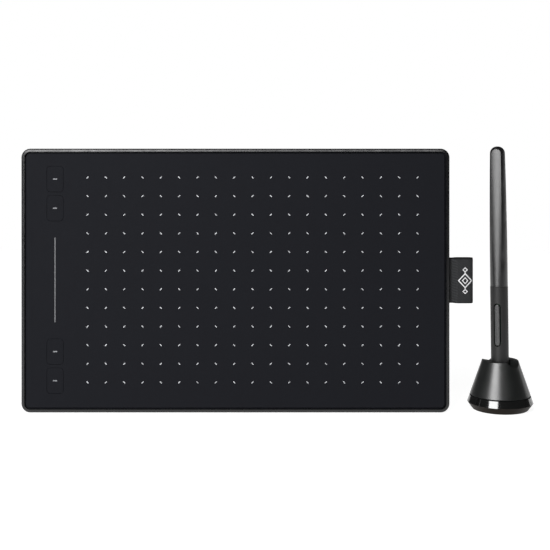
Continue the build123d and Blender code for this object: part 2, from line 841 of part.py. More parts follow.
with BuildPart() as pen_sleeve:
    with BuildSketch(pen_level(pen_seam - sleeve_below)):
        Circle(pen_bore - sleeve_fit)
        Circle(pen_bore - sleeve_fit - sleeve_wall, mode=Mode.SUBTRACT)
    extrude(amount=sleeve_length)
save(pen_sleeve, "pen_sleeve")


def turned_nib(section_plane, axis):
    """Turns a nib: a rod with a blunt, rounded point at its lower end."""
    with BuildSketch(section_plane) as section:
        with BuildLine():
            Polyline(
                (nib_point_radius, nib_point_height),
                (nib_radius, nib_taper),
                (nib_radius, nib_length),
                (0, nib_length),
                (0, 0),
            )
            ThreePointArc(
                (0, 0), (nib_point_radius * 2 / 3, nib_point_height * 0.3), (nib_point_radius, nib_point_height)
            )
        make_face()
    revolve(section.sketch, axis=axis)


with BuildPart() as pen_nib:
    turned_nib(pen_section, pen_axis)
save(pen_nib, "pen_nib")

# The nib's rear end sits in a plunger that runs through the ferrite core to the pressure sensor
with BuildPart() as nib_plunger:
    with BuildSketch(pen_level(plunger_start)):
        Circle(plunger_radius)
    extrude(amount=sensor_face - nib_travel - plunger_end_gap - plunger_start)
    with BuildSketch(pen_level(plunger_start)):
        Circle(nib_radius + nib_press_fit)
    extrude(amount=nib_length - plunger_start, mode=Mode.SUBTRACT)
save(nib_plunger, "nib_plunger")

with BuildPart() as ferrite_core:
    with BuildSketch(pen_level(core_start)):
        Circle(core_radius)
        Circle(plunger_radius + core_fit, mode=Mode.SUBTRACT)
    extrude(amount=core_end - core_start)
save(ferrite_core, "ferrite_core")

with BuildPart() as pickup_coil:
    with BuildSketch(pen_level(core_start + coil_start)):
        Circle(coil_radius)
        Circle(core_radius + coil_fit, mode=Mode.SUBTRACT)
    extrude(amount=core_end - core_start - coil_start - coil_end)
save(pickup_coil, "pickup_coil")

with BuildPart() as sensor_holder:
    with BuildSketch(pen_level(core_end + holder_gap)):
        Circle(pen_bore - sleeve_fit)
        Circle(plunger_radius + holder_fit, mode=Mode.SUBTRACT)
    extrude(amount=sensor_face - holder_end_gap - holder_gap - core_end)
save(sensor_holder, "sensor_holder")

with BuildPart() as pressure_sensor:
    with BuildSketch(pen_level(sensor_face)):
        Circle(sensor_radius)
    extrude(amount=sensor_thickness)
save(pressure_sensor, "pressure_sensor")

# Pen board on its carrier, with a switch under each button
pen_board_start = sensor_face + sensor_thickness + pen_board_gap
button_spans = {
    "lower_button": (slot_centre - slot_length / 2 + button_gap, button_split - split_gap / 2),
    "upper_button": (button_split + split_gap / 2, slot_centre + slot_length / 2 - button_gap),
}
button_middles = [(low + high) / 2 for low, high in button_spans.values()]
with BuildPart() as pen_board:
    with BuildSketch(pen_side((pen_board_start + pen_board_end) / 2, -pen_board_half)):
        Rectangle(pen_board_end - pen_board_start, pen_board_width)
    extrude(amount=2 * pen_board_half)
save(pen_board, "pen_board")

with BuildPart() as board_carrier:
    with BuildSketch(pen_level(pen_board_start)):
        Circle(pen_bore - sleeve_fit)
        Circle(pen_bore - sleeve_fit - carrier_wall, mode=Mode.SUBTRACT)
        with Locations((pen_radius - pen_board_half, 0)):
            Rectangle(2 * pen_radius, 2 * pen_radius, mode=Mode.SUBTRACT)
    extrude(amount=pen_seam - carrier_end - pen_board_start)
save(board_carrier, "board_carrier")

with BuildPart() as pen_switches:
    for height in button_middles:
        with BuildSketch(pen_side(height, pen_board_half)):
            RectangleRounded(pen_switch_length, pen_switch_width, pen_switch_corner)
        extrude(amount=pen_switch_height)
        with BuildSketch(pen_side(height, pen_board_half + pen_switch_height)):
            Circle(pen_plunger_radius)
        extrude(amount=pen_plunger_height)
save(pen_switches, "pen_switches")

# The two side buttons share one long recess; each follows the barrel's curve and stands a little proud
button_top = pen_radius + button_proud
pen_switch_top = pen_board_half + pen_switch_height + pen_plunger_height
button_post_end = pen_switch_top + button_travel + button_rest_gap
for name, (low, high) in button_spans.items():
    with BuildPart() as button:
        with BuildSketch(slot_side):
            SlotOverall(slot_length - 2 * button_gap, slot_width - 2 * button_gap)
            with Locations(((low + high) / 2 - slot_centre, 0)):
                Rectangle(high - low, slot_width, mode=Mode.INTERSECT)
        extrude(amount=button_top)
        with BuildSketch(pen_level(low - 1)):
            Circle(button_top)
            Circle(button_top - button_depth, mode=Mode.SUBTRACT)
        extrude(amount=high - low + 2, mode=Mode.INTERSECT)
        crown = button.faces().sort_by(Axis(pen_tip, pen_front))[-1]
        fillet(crown.edges().filter_by(lambda edge: edge.geom_type != GeomType.CIRCLE), button_edge)
        with BuildSketch(pen_side((low + high) / 2, button_post_end)):
            Circle(button_post_radius)
        extrude(amount=button_top - button_depth / 2 - button_post_end)
        if name == "upper_button":
            # A small ridge and a notch under it tell the fingertip which button it is on
            with BuildSketch(pen_side(ridge_height, button_top - ridge_proud)):
                SlotOverall(ridge_width, ridge_length, rotation=90)
            extrude(amount=2 * ridge_proud)
            fillet(button.faces().sort_by(Axis(pen_tip, pen_front))[-1].edges(), ridge_proud * 0.8)
            with BuildSketch(pen_side(ridge_notch, button_top - ridge_proud)):
                SlotOverall(ridge_width, ridge_length, rotation=90)
            extrude(amount=2 * ridge_proud, mode=Mode.SUBTRACT)
        else:
            # The lower button has a fine groove along its middle instead
            with BuildSketch(pen_side(groove_height, button_top - groove_deep)):
                SlotOverall(groove_length, groove_slot)
            extrude(amount=2 * groove_deep, mode=Mode.SUBTRACT)
    save(button, name)

# Stand, lower half: foot, grip pad, weight, ring and the tray of spare nibs
foot_floor_top = foot_floor + foot_plate
collar_top = stand_seam + collar_height
weight_top = foot_floor_top + weight_height


def weight_screw_circles(radius, mode=Mode.ADD):
    with Locations((stand_x, 0)):
        with PolarLocations(weight_screw_ring, 3):
            Circle(radius, mode=mode)


with BuildPart() as stand_foot:
    turned_stand(
        [
            (hub_radius, foot_floor),
            (stand_foot_radius - pad_wall, foot_floor),
            (stand_foot_radius - pad_wall, pad_edge),
            (stand_foot_radius, pad_edge),
            (stand_radius, stand_widest),
            (collar_radius, stand_widest),
            (collar_radius, foot_floor_top),
            (hub_radius, foot_floor_top),
        ]
    )
    with BuildSketch(Plane.XY.offset(foot_floor)):
        weight_screw_circles(screw_head_radius + foot_fit)
    extrude(amount=foot_plate / 2 + foot_fit, mode=Mode.SUBTRACT)
    with BuildSketch(Plane.XY.offset(foot_floor)):
        weight_screw_circles(screw_hole_radius)
    extrude(amount=foot_floor_top, mode=Mode.SUBTRACT)
save(stand_foot, "stand_foot")

with BuildPart() as grip_pad:
    with BuildSketch(Plane.XY):
        with Locations((stand_x, 0)):
            Circle(stand_foot_radius - pad_wall - foot_fit)
            Circle(hub_radius - pad_hole_inset, mode=Mode.SUBTRACT)
    extrude(amount=foot_floor)
    chamfer(grip_pad.faces().sort_by(Axis.Z)[0].edges(), pad_edge)
save(grip_pad, "grip_pad")

with BuildPart() as base_weight:
    with BuildSketch(Plane.XY.offset(foot_floor_top)):
        with Locations((stand_x, 0)):
            Circle(collar_radius - weight_fit)
            Circle(hub_radius - weight_hole_inset, mode=Mode.SUBTRACT)
        weight_screw_circles(screw_hole_radius, Mode.SUBTRACT)
    extrude(amount=weight_height)
save(base_weight, "base_weight")

weight_head_height = foot_plate / 2
with BuildPart() as weight_screws:
    with BuildSketch(Plane.XY.offset(foot_floor + foot_fit)):
        weight_screw_circles(screw_head_radius)
    extrude(amount=weight_head_height)
    with BuildSketch(Plane.XY.offset(foot_floor + foot_fit + weight_head_height)):
        weight_screw_circles(screw_radius)
    extrude(amount=weight_screw_length)
save(weight_screws, "weight_screws")

with BuildPart() as nib_puller:
    with BuildSketch(Plane.XY.offset(foot_floor_top - puller_thickness)):
        with Locations((stand_x, 0)):
            Circle(hub_radius - puller_fit)
            Circle(nib_radius + puller_bore_fit, mode=Mode.SUBTRACT)
            with Locations((puller_slot_x, 0)):
                Rectangle(puller_slot_length, puller_slot_width, mode=Mode.SUBTRACT)
    extrude(amount=puller_thickness)
save(nib_puller, "nib_puller")

ring_slope = (stand_radius - stand_top_radius) / (stand_height - stand_widest)
ring_top_radius = stand_radius - ring_slope * (stand_seam - stand_widest)
with BuildPart() as base_ring:
    turned_stand(
        [
            (collar_radius, stand_widest),
            (stand_radius, stand_widest),
            (ring_top_radius + ring_slope * ring_edge, stand_seam - ring_edge),
            (ring_top_radius - ring_edge, stand_seam),
            (collar_radius, stand_seam),
            (collar_radius, collar_top),
            (ring_bore, collar_top),
            (ring_bore, weight_top),
            (collar_radius, weight_top),
        ]
    )
save(base_ring, "base_ring")

tray_top = weight_top + tray_height
nib_floor = weight_top + tray_floor
with BuildPart() as nib_tray:
    with BuildSketch(Plane.XY.offset(weight_top)):
        with Locations((stand_x, 0)):
            Circle(ring_bore - weight_fit)
            Circle(tray_bore, mode=Mode.SUBTRACT)
    extrude(amount=tray_height)
    with BuildSketch(Plane.XY.offset(nib_floor)):
        with Locations((stand_x, 0)):
            with PolarLocations(nib_ring_radius, spare_count):
                Circle(nib_radius + 0.1)
    extrude(amount=tray_top, mode=Mode.SUBTRACT)
save(nib_tray, "nib_tray")

with BuildPart() as spare_nibs:
    for number in range(spare_count):
        turn_angle = radians(360 * number / spare_count)
        nib_place = (
            stand_x + nib_ring_radius * cos(turn_angle),
            nib_ring_radius * sin(turn_angle),
            nib_floor + nib_rest_gap,
        )
        turned_nib(Plane(origin=nib_place, x_dir=(1, 0, 0), z_dir=(0, -1, 0)), Axis(nib_place, (0, 0, 1)))
save(spare_nibs, "spare_nibs")

# Stand, upper half: a cone with the pen's socket, notched across its top for a pen laid down
shell_bottom = stand_seam + seam_gap
shell_slope = (ring_top_radius - stand_top_radius) / (stand_height - stand_seam)
crown_bottom = stand_height - crown_depth


def shell_inner(height):
    return stand_top_radius + shell_slope * (stand_height - height) - shell_wall


def shell_outer(height):
    return stand_top_radius + shell_slope * (stand_height - height)


notch_line = Vector(sin(radians(notch_angle)), -cos(radians(notch_angle)), 0)
crown_across = Vector(cos(radians(notch_angle)), sin(radians(notch_angle)), 0)
with BuildPart() as stand_shell:
    tube_bore = liner_outer_radius + liner_wall_fit
    spigot = collar_radius + shell_fit
    turned_stand(
        [
            (spigot, shell_bottom),
            (shell_outer(shell_bottom) - shell_edge, shell_bottom),
            (shell_outer(shell_bottom + shell_edge), shell_bottom + shell_edge),
            (stand_top_radius, stand_height),
            (mouth_radius, stand_height),
            (mouth_radius, liner_top + liner_wall_fit),
            (tube_bore, liner_top + liner_wall_fit),
            (tube_bore, liner_bottom),
            (tube_bore + tube_wall, liner_bottom),
            (tube_bore + tube_wall, crown_bottom),
            (shell_inner(crown_bottom), crown_bottom),
            (shell_inner(collar_top + 2 * shell_step), collar_top + 2 * shell_step),
            (spigot, collar_top + shell_step),
        ]
    )
    rim = stand_shell.faces().sort_by(Axis.Z)[-1]
    fillet(rim.outer_wire().edges(), crown_edge)
    notch_centre = Vector(stand_x, 0, stand_height - notch_depth + notch_radius)
    with BuildSketch(Plane(origin=notch_centre, x_dir=crown_across, z_dir=notch_line)):
        Circle(notch_radius)
    extrude(amount=stand_radius, both=True, mode=Mode.SUBTRACT)
save(stand_shell, "stand_shell")

with BuildPart() as socket_liner:
    seat_low = pen_nose_end + 1.0
    seat_high = liner_top - pen_tip_height
    with BuildSketch(stand_section):
        with BuildLine():
            Polyline(
                (ogive(seat_high, pen_clearance), liner_top),
                (liner_outer_radius, liner_top),
                (liner_outer_radius, liner_bottom),
                (0, liner_bottom),
                (0, liner_bottom + liner_floor),
                (ogive(seat_low, pen_clearance), liner_bottom + liner_floor),
                (ogive(seat_low, pen_clearance), pen_tip_height + seat_low),
            )
            seat_middle = (seat_low + seat_high) / 2
            ThreePointArc(
                (ogive(seat_low, pen_clearance), pen_tip_height + seat_low),
                (ogive(seat_middle, pen_clearance), pen_tip_height + seat_middle),
                (ogive(seat_high, pen_clearance), liner_top),
            )
        make_face()
    revolve(axis=stand_axis)
save(socket_liner, "socket_liner")
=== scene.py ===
"""Looks of a pen tablet, its pen and the pen's stand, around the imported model."""
from math import cos, pi, radians, sin, sqrt

import bmesh
import bpy
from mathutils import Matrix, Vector


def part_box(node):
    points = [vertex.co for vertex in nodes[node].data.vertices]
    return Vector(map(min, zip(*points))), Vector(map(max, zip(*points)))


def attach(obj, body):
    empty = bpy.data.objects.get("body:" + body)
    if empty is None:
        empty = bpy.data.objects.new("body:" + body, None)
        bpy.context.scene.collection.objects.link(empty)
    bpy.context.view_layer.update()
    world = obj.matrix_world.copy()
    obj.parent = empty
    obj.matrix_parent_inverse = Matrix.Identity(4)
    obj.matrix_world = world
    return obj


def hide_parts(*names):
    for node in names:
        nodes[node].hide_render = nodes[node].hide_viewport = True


MM = 0.001

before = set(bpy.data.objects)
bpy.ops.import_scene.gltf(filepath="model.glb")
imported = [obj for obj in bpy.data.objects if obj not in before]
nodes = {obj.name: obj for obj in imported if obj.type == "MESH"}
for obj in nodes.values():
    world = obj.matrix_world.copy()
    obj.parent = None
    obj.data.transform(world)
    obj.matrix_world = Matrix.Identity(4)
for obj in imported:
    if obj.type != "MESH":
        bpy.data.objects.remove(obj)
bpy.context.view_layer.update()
scene = bpy.context.scene
scene.view_settings.view_transform = "Standard"

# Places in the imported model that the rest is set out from
case_low, case_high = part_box("rear_housing")
foot_low, foot_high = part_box("stand_foot")
ribbon_low, ribbon_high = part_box("ribbon_loop")
tablet_x = (case_low.x + case_high.x) / 2
tablet_z = (case_low.z + case_high.z) / 2
edge_x = case_high.x
face_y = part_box("front_cover")[0].y
stand_x = (foot_low.x + foot_high.x) / 2
ribbon_y = (ribbon_low.y + ribbon_high.y) / 2

# Camera: level, in front of the drawing surface and a little above the middle of the view
PIXEL = 0.6715 * MM
PICTURE_PIXELS = 550
VIEW_RIGHT_PIXELS = 39.6
VIEW_UP_PIXELS = 5.8
VIEW_WIDTH = PICTURE_PIXELS * PIXEL
EYE_DISTANCE = 0.7
EYE_RAISE = 0.080
SENSOR_WIDTH = 36
CLIP_NEAR = 0.01
CLIP_FAR = 20
view_x = tablet_x + VIEW_RIGHT_PIXELS * PIXEL
view_z = tablet_z + VIEW_UP_PIXELS * PIXEL
camera_data = bpy.data.cameras.new("camera")
camera = bpy.data.objects.new("camera", camera_data)
scene.collection.objects.link(camera)
scene.camera = camera
camera_data.sensor_width = SENSOR_WIDTH
camera_data.lens = SENSOR_WIDTH * EYE_DISTANCE / VIEW_WIDTH
camera_data.shift_y = -EYE_RAISE / VIEW_WIDTH
camera_data.clip_start = CLIP_NEAR
camera_data.clip_end = CLIP_FAR
camera.location = (view_x, face_y - EYE_DISTANCE, view_z + EYE_RAISE)
camera.rotation_euler = (pi / 2, 0, 0)

# Shader nodes
NOISE_LOW = 0.3
NOISE_HIGH = 0.7
# Places of the Mix node's first input, second input and result, for numbers and for colours
MIX_SOCKETS = {"FLOAT": (2, 3, 0), "RGBA": (6, 7, 2)}


class NodeTree:
    """The node tree of a material or a world."""

    def __init__(self, owner, empty=False):
        owner.use_nodes = True
        self.tree = owner.node_tree
        if empty:
            self.tree.nodes.clear()

    def add(self, kind, **settings):
        node = self.tree.nodes.new(kind)
        for key, value in settings.items():
            setattr(node, key, value)
        return node

    def link(self, output, target):
        self.tree.links.new(output, target)

    def feed(self, socket, value):
        """Links a socket to another node's output, or sets it to a number or a colour."""
        if isinstance(value, bpy.types.NodeSocket):
            self.link(value, socket)
        elif isinstance(value, tuple):
            socket.default_value = (*value, 1)
        else:
            socket.default_value = value

    def math(self, operation, first, second=0.0, **settings):
        node = self.add("ShaderNodeMath", operation=operation, **settings)
        self.feed(node.inputs[0], first)
        self.feed(node.inputs[1], second)
        return node.outputs[0]

    def mix(self, factor, first, second, data_type="RGBA", **settings):
        node = self.add("ShaderNodeMix", data_type=data_type, **settings)
        first_place, second_place, result_place = MIX_SOCKETS[data_type]
        self.feed(node.inputs["Factor"], factor)
        self.feed(node.inputs[first_place], first)
        self.feed(node.inputs[second_place], second)
        return node.outputs[result_place]

    def rescale(self, value, source, target, **settings):
        """Maps a value from one range to another."""
        node = self.add("ShaderNodeMapRange", **settings)
        node.inputs["From Min"].default_value, node.inputs["From Max"].default_value = source
        node.inputs["To Min"].default_value, node.inputs["To Max"].default_value = target
        self.link(value, node.inputs["Value"])
        return node.outputs["Result"]

    def axis(self, vector, letter):
        node = self.add("ShaderNodeSeparateXYZ")
        self.link(vector, node.inputs[0])
        return node.outputs[letter]


class Shader(NodeTree):
    """A material with its Principled shader and object coordinates."""

    def __init__(self, name, color, rough, specular=0.5, ior=1.5, metallic=0.0, sheen=0.0):
        self.material = bpy.data.materials.new(name)
        super().__init__(self.material)
        self.shader = self.tree.nodes["Principled BSDF"]
        self.feed(self.shader.inputs["Base Color"], color)
        self.feed(self.shader.inputs["Roughness"], rough)
        self.feed(self.shader.inputs["Specular IOR Level"], specular)
        self.feed(self.shader.inputs["IOR"], ior)
        self.feed(self.shader.inputs["Metallic"], metallic)
        self.feed(self.shader.inputs["Sheen Weight"], sheen)
        self.coords = self.add("ShaderNodeTexCoord").outputs["Object"]
        self.base_color = None

    def noise(self, size, detail=2, stretch=(1, 1, 1)):
        """Noise from 0 to 1 with features of about that size in metres."""
        mapping = self.add("ShaderNodeMapping")
        mapping.inputs["Scale"].default_value = [share / size for share in stretch]
        self.link(self.coords, mapping.inputs["Vector"])
        texture = self.add("ShaderNodeTexNoise")
        texture.inputs["Scale"].default_value = 1.0
        texture.inputs["Detail"].default_value = detail
        self.link(mapping.outputs["Vector"], texture.inputs["Vector"])
        return texture.outputs["Fac"]

    def ramp(self, factor, low, high, start=NOISE_LOW, end=NOISE_HIGH):
        """A colour between two, by where the factor lies between start and end."""
        node = self.add("ShaderNodeValToRGB")
        for element, position, color in zip(node.color_ramp.elements, (start, end), (low, high)):
            element.position = position
            element.color = (*color, 1)
        self.link(factor, node.inputs["Fac"])
        return node.outputs["Color"]

    def color(self, output):
        self.base_color = output
        self.link(output, self.shader.inputs["Base Color"])

    def rough(self, factor, low, high):
        roughness = self.rescale(factor, (NOISE_LOW, NOISE_HIGH), (low, high))
        self.link(roughness, self.shader.inputs["Roughness"])

    def bump(self, height, depth):
        node = self.add("ShaderNodeBump")
        node.inputs["Strength"].default_value = 1.0
        node.inputs["Distance"].default_value = depth
        self.link(height, node.inputs["Height"])
        self.link(node.outputs["Normal"], self.shader.inputs["Normal"])


def shade(color, amount):
    return tuple(channel * amount for channel in color)


# Plastics and rubber
MOTTLE_SIZE = 14 * MM
SHEEN_SIZE = 5 * MM
PANEL = (0.0097, 0.0102, 0.0129)
HOUSING = (0.0070, 0.0072, 0.0082)
PRINT = (0.50, 0.51, 0.53)
DASH = (0.26, 0.265, 0.28)
STRIP = (0.15, 0.153, 0.16)
BARREL_BLACK = (0.0035, 0.0035, 0.0040)
GRIP_BLACK = (0.012, 0.012, 0.0122)
BUTTON_GREY = (0.022, 0.022, 0.023)
NIB_BLACK = (0.02, 0.02, 0.02)
STAND_BLACK = (0.0050, 0.0058, 0.0056)
RING_BLACK = (0.0040, 0.0042, 0.0042)
BASE_BROWN = (0.012, 0.0085, 0.0055)
RUBBER_BLACK = (0.016, 0.016, 0.016)
CHIP_BLACK = (0.018, 0.018, 0.019)
LENS_WHITE = (0.75, 0.76, 0.72)
FILM_AMBER = (0.42, 0.22, 0.04)
FERRITE_GREY = (0.035, 0.035, 0.037)
THREAD_WHITE = (0.72, 0.72, 0.73)
DASH_LEAST_RISE = 0.06 * MM


def plastic(name, color, rough, grain=0.25 * MM, depth=0.01 * MM, mottle=0.12, uneven=0.06, **shine):
    """Moulded plastic: spark-eroded grain of a size and depth, slight mottling and uneven sheen."""
    made = Shader(name, color, rough, **shine)
    patches = made.noise(MOTTLE_SIZE, detail=3)
    made.color(made.ramp(patches, shade(color, 1 - mottle), shade(color, 1 + mottle)))
    made.rough(made.noise(SHEEN_SIZE, detail=4), rough - uneven, rough + uneven)
    if depth:
        made.bump(made.noise(grain, detail=1), depth)
    return made


def panel_plastic(name):
    """The drawing surface's fine, paper-like plastic."""
    return plastic(
        name, PANEL, rough=0.6, grain=0.22 * MM, depth=0.008 * MM, mottle=0.02, uneven=0.03, specular=0.05
    )


def key_plastic():
    """The drawing surface's plastic, with a paler colour on the dashes that stand proud of it."""
    made = panel_plastic("key_plastic")
    raised = made.math("LESS_THAN", made.axis(made.coords, "Y"), face_y - DASH_LEAST_RISE)
    made.color(made.mix(raised, made.base_color, DASH))
    return made


cover = panel_plastic("cover_plastic")
keys = key_plastic()
housing = plastic("housing_plastic", HOUSING, rough=0.3, grain=0.3 * MM, depth=0.004 * MM)
ink = plastic("mark_ink", PRINT, rough=0.5, grain=0.12 * MM, depth=0.004 * MM, mottle=0.15)
strip = plastic("strip_plastic", STRIP, rough=0.4, grain=0.3 * MM, depth=0.003 * MM, mottle=0.06)
barrel = plastic("pen_gloss", BARREL_BLACK, rough=0.34, depth=0, mottle=0.05, uneven=0.02, specular=1.0)
grip = plastic(
    "pen_grip_rubber", GRIP_BLACK, rough=0.5, grain=0.18 * MM, depth=0.006 * MM, mottle=0.08, uneven=0.04,
    specular=0.4,
)
button = plastic(
    "pen_button_plastic", BUTTON_GREY, rough=0.3, grain=0.3 * MM, depth=0.003 * MM, mottle=0.08, uneven=0.04,
    specular=0.85,
)
nib = plastic("nib_plastic", NIB_BLACK, rough=0.4, grain=0.3 * MM, depth=0.004 * MM)
stand = plastic(
    "stand_plastic", STAND_BLACK, rough=0.33, grain=0.35 * MM, depth=0.0015 * MM, mottle=0.08, uneven=0.02,
    specular=1.0,
)
stand_ring = plastic(
    "stand_ring_plastic", RING_BLACK, rough=0.11, depth=0, mottle=0.08, uneven=0.015, specular=0.8, ior=1.8
)
stand_base = plastic(
    "stand_base_plastic", BASE_BROWN, rough=0.5, grain=0.35 * MM, depth=0.004 * MM, mottle=0.2, uneven=0.05,
    specular=0.1,
)
rubber = plastic("foot_rubber", RUBBER_BLACK, rough=0.72, grain=0.4 * MM, depth=0.02 * MM, mottle=0.2)
chip = plastic("chip_plastic", CHIP_BLACK, rough=0.55, grain=0.15 * MM, depth=0.006 * MM)
lens = plastic("lamp_plastic", LENS_WHITE, rough=0.3, grain=0.3 * MM, depth=0.003 * MM)
film = plastic("film_plastic", FILM_AMBER, rough=0.35, grain=0.5 * MM, depth=0.003 * MM)
ferrite = plastic("ferrite", FERRITE_GREY, rough=0.6, grain=0.2 * MM, depth=0.015 * MM)
thread = plastic("motif_thread", THREAD_WHITE, rough=0.7, grain=0.2 * MM, depth=0.03 * MM)

# Metals
STEEL = (0.55, 0.55, 0.56)
COPPER = (0.62, 0.27, 0.13)
TARNISH_SIZE = 3 * MM
TARNISH_DARK = 0.88
TARNISH_PALE = 1.08
SCRATCH_DEPTH = 0.004 * MM
POLISHED = 0.06
WORN = 0.1
# How closely the scratches are packed along each axis
DRAWN_STEEL = (1, 1, 6)
DRAWN_WIRE = (1, 1, 8)


def metal(name, color, rough, scratch, stretch):
    """Drawn or brushed metal: faint tarnish, and scratches of a width, packed closer along one axis."""
    made = Shader(name, color, rough, metallic=1.0)
    tarnish = made.noise(TARNISH_SIZE, detail=4)
    made.color(made.ramp(tarnish, shade(color, TARNISH_DARK), shade(color, TARNISH_PALE)))
    made.rough(made.noise(scratch, detail=3, stretch=stretch), rough - POLISHED, rough + WORN)
    made.bump(made.noise(scratch, detail=2, stretch=stretch), SCRATCH_DEPTH)
    return made


steel = metal("steel", STEEL, rough=0.32, scratch=0.4 * MM, stretch=DRAWN_STEEL)
copper = metal("copper_wire", COPPER, rough=0.3, scratch=0.2 * MM, stretch=DRAWN_WIRE)

# Circuit board
BOARD_GREEN = (0.012, 0.085, 0.035)
MASK_GREEN = (0.010, 0.075, 0.030)
TRACK_GREEN = (0.03, 0.16, 0.07)
TRACK_PITCH = 9 * MM
TRACK_SHARE = 0.05
MASK_GRAIN = 2 * MM
MASK_SMOOTH = 0.28
MASK_ROUGH = 0.42


def board_mask():
    """Green solder mask with paler tracks, laid out in the board's own plane."""
    made = Shader("circuit_board", BOARD_GREEN, rough=0.35)
    turn = made.add("ShaderNodeMapping")
    turn.inputs["Rotation"].default_value = (pi / 2, 0, 0)
    made.link(made.coords, turn.inputs["Vector"])
    tracks = made.add("ShaderNodeTexBrick")
    tracks.inputs["Scale"].default_value = 1 / TRACK_PITCH
    tracks.inputs["Mortar Size"].default_value = TRACK_SHARE
    made.link(turn.outputs["Vector"], tracks.inputs["Vector"])
    made.color(made.mix(tracks.outputs["Fac"], MASK_GREEN, TRACK_GREEN))
    made.rough(made.noise(MASK_GRAIN), MASK_SMOOTH, MASK_ROUGH)
    return made


board = board_mask()

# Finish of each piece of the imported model
finishes = {
    housing: ["rear_housing"],
    cover: ["front_cover"],
    keys: ["key_1", "key_2", "key_3", "key_4"],
    ink: ["grid_marks"],
    strip: ["scroll_strip"],
    rubber: ["foot_left_bottom", "foot_left_top", "foot_right_bottom", "foot_right_top", "grip_pad"],
    steel: [
        "cover_screws", "shield_plate", "clamp_screws", "ribbon_clamp", "usb_shell", "base_weight",
        "weight_screws", "pen_sleeve", "nib_puller",
    ],
    board: ["control_board", "digitizer_board", "pen_board"],
    chip: ["control_chips", "key_switches", "pen_switches", "usb_tongue"],
    film: ["digitizer_flex", "touch_film", "panel_adhesive"],
    lens: ["status_lamp"],
    copper: ["pickup_coil"],
    ferrite: ["ferrite_core"],
    barrel: ["pen_barrel"],
    grip: ["pen_grip", "pen_nose"],
    nib: ["pen_nib", "spare_nibs", "nib_plunger", "sensor_holder", "pressure_sensor", "board_carrier"],
    stand: ["stand_shell", "socket_liner", "nib_tray"],
    stand_ring: ["base_ring"],
    stand_base: ["stand_foot"],
    button: ["upper_button", "lower_button"],
}
for finish, names in finishes.items():
    for name in names:
        nodes[name].data.materials.clear()
        nodes[name].data.materials.append(finish.material)


def add_piece(mesh, finish, body):
    """Puts a mesh into the scene as a piece that rides on a body."""
    piece = bpy.data.objects.new(mesh.name, mesh)
    scene.collection.objects.link(piece)
    mesh.materials.append(finish.material)
    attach(piece, body)
    return piece


# Ribbon: woven tape along the same folded path as the solid it stands for
RIBBON_WIDTH = 30.5 * MM
RIBBON_THICK = 0.8 * MM
LAYER_OFFSET = 0.45 * MM
LOOP_RADIUS = 2.9 * MM
FLARE_LENGTH = 4.3 * MM
FLARE_START = 1.5 * MM
RIBBON_REACH = 16.2 * MM
RIBBON_STEP = 0.25 * MM
TAPER_WIDTH = 0.9 * MM
TAPER_SHARE = 0.55
WEAVE_PITCH = 1.0 * MM
WEAVE_HEIGHT = 0.035 * MM
WEAVE_ROOM = 0.04 * MM
turn_x = edge_x + RIBBON_REACH - LOOP_RADIUS - RIBBON_THICK / 2


def layer_level(x):
    """How far a layer's middle lies from the middle of the loop, before the turn."""
    share = min(1.0, max(0.0, (x - edge_x - FLARE_START) / FLARE_LENGTH))
    return LAYER_OFFSET + (LOOP_RADIUS - LAYER_OFFSET) * share * share * (3 - 2 * share)


def ribbon_points():
    """Points (x, y) along the tape's middle, from the front layer's inner end round to the back's."""
    front = []
    x = ribbon_low.x
    while x < turn_x:
        front.append((x, layer_level(x)))
        x += RIBBON_STEP
    count = int(pi * LOOP_RADIUS / RIBBON_STEP)
    angles = [pi * i / count for i in range(count + 1)]
    turn = [(turn_x + LOOP_RADIUS * sin(angle), LOOP_RADIUS * cos(angle)) for angle in angles]
    back = [(x, -level) for x, level in reversed(front)]
    return [(x, ribbon_y - level) for x, level in front + turn + back]


def ribbon_rows():
    """For each point of the tape's middle: its place, the way its face looks and the run so far."""
    path = [Vector(point) for point in ribbon_points()]
    rows = []
    run = 0.0
    for i, point in enumerate(path):
        before, after = path[max(i - 1, 0)], path[min(i + 1, len(path) - 1)]
        tangent = (after - before).normalized()
        run += (point - before).length
        rows.append((point, Vector((tangent.y, -tangent.x)), run))
    return rows


def half_thickness(z, run):
    """Half the tape's thickness at a height over its lower edge: thinner at the edges, with the weave."""
    margin = min(z, RIBBON_WIDTH - z)
    fullness = TAPER_SHARE + (1 - TAPER_SHARE) * min(1.0, margin / TAPER_WIDTH)
    relief = sin(2 * pi * (run + z) / WEAVE_PITCH) * sin(2 * pi * (run - z) / WEAVE_PITCH)
    return RIBBON_THICK / 2 * fullness - WEAVE_ROOM + WEAVE_HEIGHT * relief


def tape_faces(rows, across):
    """The faces of both layers of vertices, then of the tape's long edges and of its ends."""
    wide = across + 1
    layer = rows * wide
    faces = []
    for side in (0, 1):
        for i in range(rows - 1):
            for j in range(across):
                corner = side * layer + i * wide + j
                quad = (corner, corner + 1, corner + wide + 1, corner + wide)
                faces.append(quad if side else quad[::-1])
    for i in range(rows - 1):
        for j in (0, across):
            corner = i * wide + j
            under = layer + corner
            quad = (corner, corner + wide, under + wide, under)
            faces.append(quad if j == 0 else quad[::-1])
    for i in (0, rows - 1):
        for j in range(across):
            corner = i * wide + j
            under = layer + corner
            quad = (corner, under, under + 1, corner + 1)
            faces.append(quad if i == 0 else quad[::-1])
    return faces


def ribbon_mesh(rows):
    across = int(RIBBON_WIDTH / RIBBON_STEP)
    heights = [j * RIBBON_WIDTH / across for j in range(across + 1)]
    low_z = tablet_z - RIBBON_WIDTH / 2
    vertices = []
    for side in (1, -1):
        for point, normal, run in rows:
            for z in heights:
                x, y = point + side * half_thickness(z, run) * normal
                vertices.append((x, y, low_z + z))
    mesh = bpy.data.meshes.new("woven_ribbon")
    mesh.from_pydata(vertices, [], tape_faces(len(rows), across))
    mesh.validate()
    mesh.shade_smooth()
    return mesh


